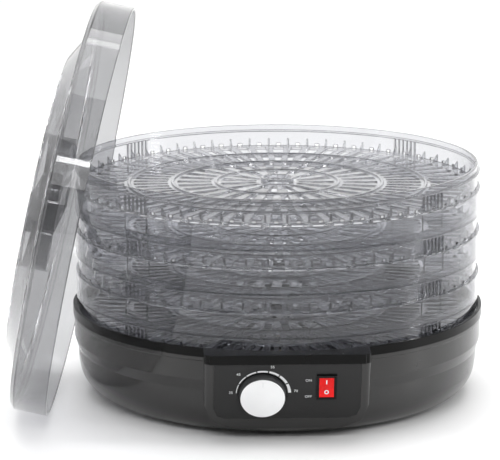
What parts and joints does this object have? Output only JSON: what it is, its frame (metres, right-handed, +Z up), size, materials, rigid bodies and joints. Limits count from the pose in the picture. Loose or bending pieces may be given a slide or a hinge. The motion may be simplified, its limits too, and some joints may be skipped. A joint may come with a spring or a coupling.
{
  "type": "food dehydrator",
  "caption": "Round countertop food dehydrator: base with fan, heater, dial and rocker switch, stacked clear trays, and a domed clear lid leaning beside the stack.",
  "frame": {"origin": "on the standing surface, under the centre of the round base", "axes": "+Z up along the stack's axis; the control panel faces -Y; +X to the right seen from the front"},
  "size_m": [0.3689, 0.3792, 0.3143],
  "materials": {
    "smoke_clear": "clear smoke-grey moulded plastic, glossy",
    "black_gloss": "black moulded plastic, polished",
    "black_satin": "black moulded plastic, satin",
    "panel_black": "near-black plastic, semi-gloss",
    "rubber": "black rubber",
    "zinc_steel": "zinc-plated steel",
    "motor_paint": "grey painted motor can",
    "aluminium": "bare aluminium sheet",
    "heating_wire": "nickel-chrome resistance wire",
    "mica": "pressed mica board",
    "knob_dark": "dark grey plastic, satin",
    "knob_silver": "silver-white painted face",
    "print_white": "white print",
    "dark_resin": "brown phenolic resin",
    "red_lens": "clear red plastic",
    "brass": "plain brass"
  },
  "bodies": {
    "base": {"base_housing": "black_gloss", "air_deck": "black_satin", "bottom_cover": "black_satin", "rubber_foot_ring": "rubber", "motor_bracket": "zinc_steel", "fan_motor": "motor_paint", "heat_shield": "aluminium", "heater_coil": "heating_wire", "heater_frame": "mica", "thermal_fuse": "zinc_steel", "control_panel": "panel_black", "thermostat": "dark_resin", "thermostat_nut": "zinc_steel", "switch_bezel": "panel_black", "rocker_pin": "zinc_steel", "switch_terminals": "brass", "cord_gland": "rubber", "bottom_screws": "zinc_steel", "motor_screws": "zinc_steel"},
    "fan": {"motor_shaft": "zinc_steel", "fan_impeller": "aluminium"},
    "knob": {"control_knob": "knob_dark", "knob_face": "knob_silver", "knob_pointer": "print_white", "thermostat_shaft": "zinc_steel"},
    "rocker": {"switch_rocker": "red_lens"},
    "bottom_tray": {"tray_4": "smoke_clear"},
    "third_tray": {"tray_3": "smoke_clear"},
    "second_tray": {"tray_2": "smoke_clear"},
    "top_tray": {"tray_1": "smoke_clear"},
    "lid": {"lid": "smoke_clear"}
  },
  "joints": [
    {"name": "bottom_tray_lift", "type": "slide", "parent": "base", "child": "bottom_tray", "axis": [0, 0, 1], "range_m": [0, 0.06]},
    {"name": "third_tray_lift", "type": "slide", "parent": "bottom_tray", "child": "third_tray", "axis": [0, 0, 1], "range_m": [0, 0.06]},
    {"name": "second_tray_lift", "type": "slide", "parent": "third_tray", "child": "second_tray", "axis": [0, 0, 1], "range_m": [0, 0.06]},
    {"name": "top_tray_lift", "type": "slide", "parent": "second_tray", "child": "top_tray", "axis": [0, 0, 1], "range_m": [0, 0.06]},
    {"name": "lid_lift", "type": "slide", "parent": "top_tray", "child": "lid", "axis": [-0.4988, 0.0349, 0.866], "range_m": [0, 0.25]},
    {"name": "knob_turn", "type": "hinge", "parent": "base", "child": "knob", "pos_m": [-0.0183, -0.16161, 0.03887], "axis": [0, -0.9483, -0.3173], "range_deg": [-90, 90]},
    {"name": "switch_rock", "type": "hinge", "parent": "base", "child": "rocker", "pos_m": [0.0287, -0.16155, 0.04501], "axis": [1, 0, 0], "range_deg": [0, 16]},
    {"name": "fan_spin", "type": "hinge", "parent": "base", "child": "fan", "pos_m": [0, 0, 0.03], "axis": [0, 0, 1], "continuous": true}
  ]
}
